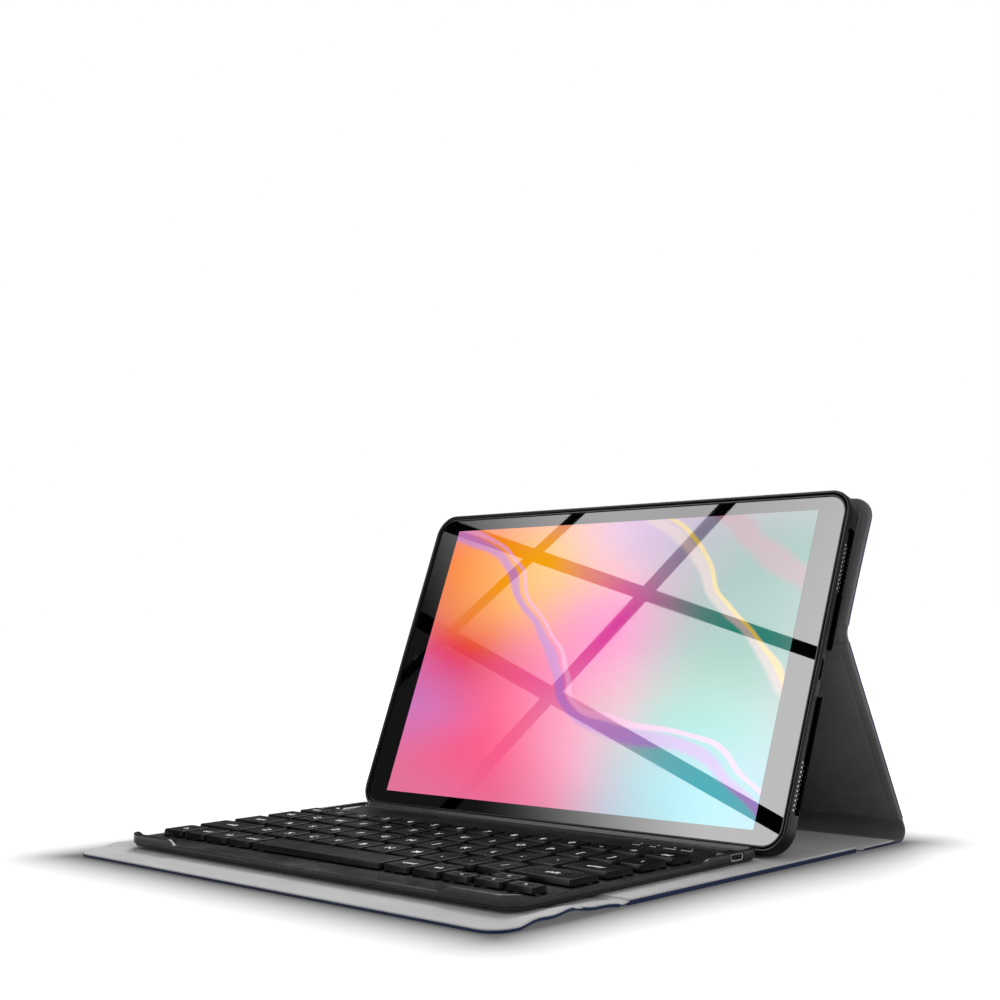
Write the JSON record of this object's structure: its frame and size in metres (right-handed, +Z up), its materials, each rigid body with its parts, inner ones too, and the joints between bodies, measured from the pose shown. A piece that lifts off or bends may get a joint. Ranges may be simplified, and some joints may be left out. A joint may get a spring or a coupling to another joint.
{
  "type": "tablet keyboard case",
  "caption": "Folding leather tablet case on its stand, with a detachable wireless keyboard lying on its base and a slate tablet held in a hard shell.",
  "frame": {"origin": "on the desk, below the middle of the object's box", "axes": "+X to the typist's right, +Y towards the back of the desk, +Z up"},
  "size_m": [0.2528, 0.2388, 0.1466],
  "materials": {
    "leather": "navy, fine wrinkled grain, semi-matt",
    "light_lining": "light grey microfibre",
    "dark_lining": "charcoal microfibre",
    "stiff_board": "matt",
    "glue": "satin",
    "magnet": "satin",
    "shell_plastic": "black, glossy",
    "keyboard_plastic": "black, satin, fine texture",
    "keycap": "black, satin, white legends",
    "indicator_lens": "smoked, glossy",
    "foot_rubber": "matt",
    "circuit": "satin",
    "battery": "satin foil",
    "socket_steel": "satin",
    "tablet_metal": "dark grey, fine blasted",
    "tablet_glass": "gloss",
    "display": "lit colour gradient"
  },
  "bodies": {
    "front_panel": {"front_panel_skin": "leather", "front_panel_board": "stiff_board", "front_panel_lining": "light_lining"},
    "closure_spine": {"closure_spine_skin": "leather", "closure_spine_lining": "light_lining"},
    "flap": {"flap_skin": "leather", "flap_board": "stiff_board", "flap_magnet_left": "magnet", "flap_magnet_right": "magnet", "flap_lining": "light_lining"},
    "rear_spine": {"rear_spine_skin": "leather", "rear_spine_lining": "dark_lining"},
    "stand_panel": {"stand_panel_skin": "leather", "stand_panel_board": "stiff_board", "stand_panel_lining": "dark_lining"},
    "tablet_holder": {"upper_back_skin": "leather", "upper_back_board": "stiff_board", "glue_sheet": "glue", "tablet_shell": "shell_plastic"},
    "tablet": {"tablet_housing": "tablet_metal", "tablet_glass": "tablet_glass", "tablet_display": "display"},
    "power_button": {"tablet_power_button": "tablet_metal"},
    "volume_button": {"tablet_volume_button": "tablet_metal"},
    "keyboard": {"keyboard_deck": "keyboard_plastic", "keyboard_cover": "keyboard_plastic", "keyboard_circuit_board": "circuit", "keyboard_battery": "battery", "keyboard_magnet_left": "magnet", "keyboard_magnet_right": "magnet", "charging_socket": "socket_steel", "indicator_window": "indicator_lens", "keyboard_foot_front_left": "foot_rubber", "keyboard_foot_front_right": "foot_rubber", "keyboard_foot_rear_left": "foot_rubber", "keyboard_foot_rear_right": "foot_rubber"},
    "switch_slider": {"power_switch": "keyboard_plastic"},
    "key_fn": {"key_fn": "keycap"},
    "key_control": {"key_control": "keycap"},
    "key_option_left": {"key_option_left": "keycap"},
    "key_command_left": {"key_command_left": "keycap"},
    "key_space": {"key_space": "keycap"},
    "key_command_right": {"key_command_right": "keycap"},
    "key_option_right": {"key_option_right": "keycap"},
    "key_shift_left": {"key_shift_left": "keycap"},
    "key_shift_right": {"key_shift_right": "keycap"},
    "key_caps_lock": {"key_caps_lock": "keycap"},
    "key_enter": {"key_enter": "keycap"},
    "key_tab": {"key_tab": "keycap"},
    "key_backslash": {"key_backslash": "keycap"},
    "key_escape": {"key_escape": "keycap"},
    "key_backspace": {"key_backspace": "keycap"},
    "key_left": {"key_left": "keycap"},
    "key_down": {"key_down": "keycap"},
    "key_right": {"key_right": "keycap"},
    "key_up": {"key_up": "keycap"},
    "key_block_bottom_letters": {"key_block_bottom_letters": "keycap"},
    "key_block_home_letters": {"key_block_home_letters": "keycap"},
    "key_block_top_letters": {"key_block_top_letters": "keycap"},
    "key_block_numbers": {"key_block_numbers": "keycap"}
  },
  "joints": [
    {"name": "closure_spine_hinge", "type": "hinge", "parent": "front_panel", "child": "closure_spine", "pos_m": [0, -0.05794, 0.00125], "axis": [1, 0, 0], "range_deg": [0, 90]},
    {"name": "flap_hinge", "type": "hinge", "parent": "closure_spine", "child": "flap", "pos_m": [0, -0.08094, 0.00125], "axis": [1, 0, 0], "range_deg": [0, 90]},
    {"name": "rear_spine_hinge", "type": "hinge", "parent": "front_panel", "child": "rear_spine", "pos_m": [0, 0.08656, 0.00125], "axis": [-1, 0, 0], "range_deg": [0, 90]},
    {"name": "stand_hinge", "type": "hinge", "parent": "rear_spine", "child": "stand_panel", "pos_m": [0, 0.12206, 0.00125], "axis": [-1, 0, 0], "range_deg": [0, 115.45]},
    {"name": "fold_hinge", "type": "hinge", "parent": "stand_panel", "child": "tablet_holder", "pos_m": [0, 0.08106, 0.08738], "axis": [1, 0, 0], "range_deg": [0, 47.85]},
    {"name": "tablet_slide", "type": "slide", "parent": "tablet_holder", "child": "tablet", "axis": [0, -0.9245, 0.3811], "range_m": [0, 0.05]},
    {"name": "power_button_press", "type": "slide", "parent": "tablet", "child": "power_button", "axis": [0, -0.3811, -0.9245], "range_m": [0, 0.0005], "stiffness_N_per_m": 900, "springref_m": -0.0005},
    {"name": "volume_button_press", "type": "slide", "parent": "tablet", "child": "volume_button", "axis": [0, -0.3811, -0.9245], "range_m": [0, 0.0005], "stiffness_N_per_m": 900, "springref_m": -0.0005},
    {"name": "keyboard_lift", "type": "slide", "parent": "front_panel", "child": "keyboard", "axis": [0, -0.7071, 0.7071], "range_m": [0, 0.08]},
    {"name": "power_switch_slide", "type": "slide", "parent": "keyboard", "child": "switch_slider", "axis": [0, 1, 0], "range_m": [0, 0.002]},
    {"name": "key_fn_press", "type": "slide", "parent": "keyboard", "child": "key_fn", "axis": [0, 0, -1], "range_m": [0, 0.0012], "stiffness_N_per_m": 400, "springref_m": -0.0005},
    {"name": "key_control_press", "type": "slide", "parent": "keyboard", "child": "key_control", "axis": [0, 0, -1], "range_m": [0, 0.0012], "stiffness_N_per_m": 400, "springref_m": -0.0005},
    {"name": "key_option_left_press", "type": "slide", "parent": "keyboard", "child": "key_option_left", "axis": [0, 0, -1], "range_m": [0, 0.0012], "stiffness_N_per_m": 400, "springref_m": -0.0005},
    {"name": "key_command_left_press", "type": "slide", "parent": "keyboard", "child": "key_command_left", "axis": [0, 0, -1], "range_m": [0, 0.0012], "stiffness_N_per_m": 400, "springref_m": -0.0005},
    {"name": "key_space_press", "type": "slide", "parent": "keyboard", "child": "key_space", "axis": [0, 0, -1], "range_m": [0, 0.0012], "stiffness_N_per_m": 400, "springref_m": -0.0005},
    {"name": "key_command_right_press", "type": "slide", "parent": "keyboard", "child": "key_command_right", "axis": [0, 0, -1], "range_m": [0, 0.0012], "stiffness_N_per_m": 400, "springref_m": -0.0005},
    {"name": "key_option_right_press", "type": "slide", "parent": "keyboard", "child": "key_option_right", "axis": [0, 0, -1], "range_m": [0, 0.0012], "stiffness_N_per_m": 400, "springref_m": -0.0005},
    {"name": "key_shift_left_press", "type": "slide", "parent": "keyboard", "child": "key_shift_left", "axis": [0, 0, -1], "range_m": [0, 0.0012], "stiffness_N_per_m": 400, "springref_m": -0.0005},
    {"name": "key_shift_right_press", "type": "slide", "parent": "keyboard", "child": "key_shift_right", "axis": [0, 0, -1], "range_m": [0, 0.0012], "stiffness_N_per_m": 400, "springref_m": -0.0005},
    {"name": "key_caps_lock_press", "type": "slide", "parent": "keyboard", "child": "key_caps_lock", "axis": [0, 0, -1], "range_m": [0, 0.0012], "stiffness_N_per_m": 400, "springref_m": -0.0005},
    {"name": "key_enter_press", "type": "slide", "parent": "keyboard", "child": "key_enter", "axis": [0, 0, -1], "range_m": [0, 0.0012], "stiffness_N_per_m": 400, "springref_m": -0.0005},
    {"name": "key_tab_press", "type": "slide", "parent": "keyboard", "child": "key_tab", "axis": [0, 0, -1], "range_m": [0, 0.0012], "stiffness_N_per_m": 400, "springref_m": -0.0005},
    {"name": "key_backslash_press", "type": "slide", "parent": "keyboard", "child": "key_backslash", "axis": [0, 0, -1], "range_m": [0, 0.0012], "stiffness_N_per_m": 400, "springref_m": -0.0005},
    {"name": "key_escape_press", "type": "slide", "parent": "keyboard", "child": "key_escape", "axis": [0, 0, -1], "range_m": [0, 0.0012], "stiffness_N_per_m": 400, "springref_m": -0.0005},
    {"name": "key_backspace_press", "type": "slide", "parent": "keyboard", "child": "key_backspace", "axis": [0, 0, -1], "range_m": [0, 0.0012], "stiffness_N_per_m": 400, "springref_m": -0.0005},
    {"name": "key_left_press", "type": "slide", "parent": "keyboard", "child": "key_left", "axis": [0, 0, -1], "range_m": [0, 0.0012], "stiffness_N_per_m": 400, "springref_m": -0.0005},
    {"name": "key_down_press", "type": "slide", "parent": "keyboard", "child": "key_down", "axis": [0, 0, -1], "range_m": [0, 0.0012], "stiffness_N_per_m": 400, "springref_m": -0.0005},
    {"name": "key_right_press", "type": "slide", "parent": "keyboard", "child": "key_right", "axis": [0, 0, -1], "range_m": [0, 0.0012], "stiffness_N_per_m": 400, "springref_m": -0.0005},
    {"name": "key_up_press", "type": "slide", "parent": "keyboard", "child": "key_up", "axis": [0, 0, -1], "range_m": [0, 0.0012], "stiffness_N_per_m": 400, "springref_m": -0.0005},
    {"name": "key_block_bottom_letters_press", "type": "slide", "parent": "keyboard", "child": "key_block_bottom_letters", "axis": [0, 0, -1], "range_m": [0, 0.0012], "stiffness_N_per_m": 4000, "springref_m": -0.0005},
    {"name": "key_block_home_letters_press", "type": "slide", "parent": "keyboard", "child": "key_block_home_letters", "axis": [0, 0, -1], "range_m": [0, 0.0012], "stiffness_N_per_m": 4400, "springref_m": -0.0005},
    {"name": "key_block_top_letters_press", "type": "slide", "parent": "keyboard", "child": "key_block_top_letters", "axis": [0, 0, -1], "range_m": [0, 0.0012], "stiffness_N_per_m": 4800, "springref_m": -0.0005},
    {"name": "key_block_numbers_press", "type": "slide", "parent": "keyboard", "child": "key_block_numbers", "axis": [0, 0, -1], "range_m": [0, 0.0012], "stiffness_N_per_m": 4800, "springref_m": -0.0005}
  ],
  "couplings": [
    {"joint": "fold_hinge", "follows": "stand_hinge", "ratio": 0.41448}
  ]
}
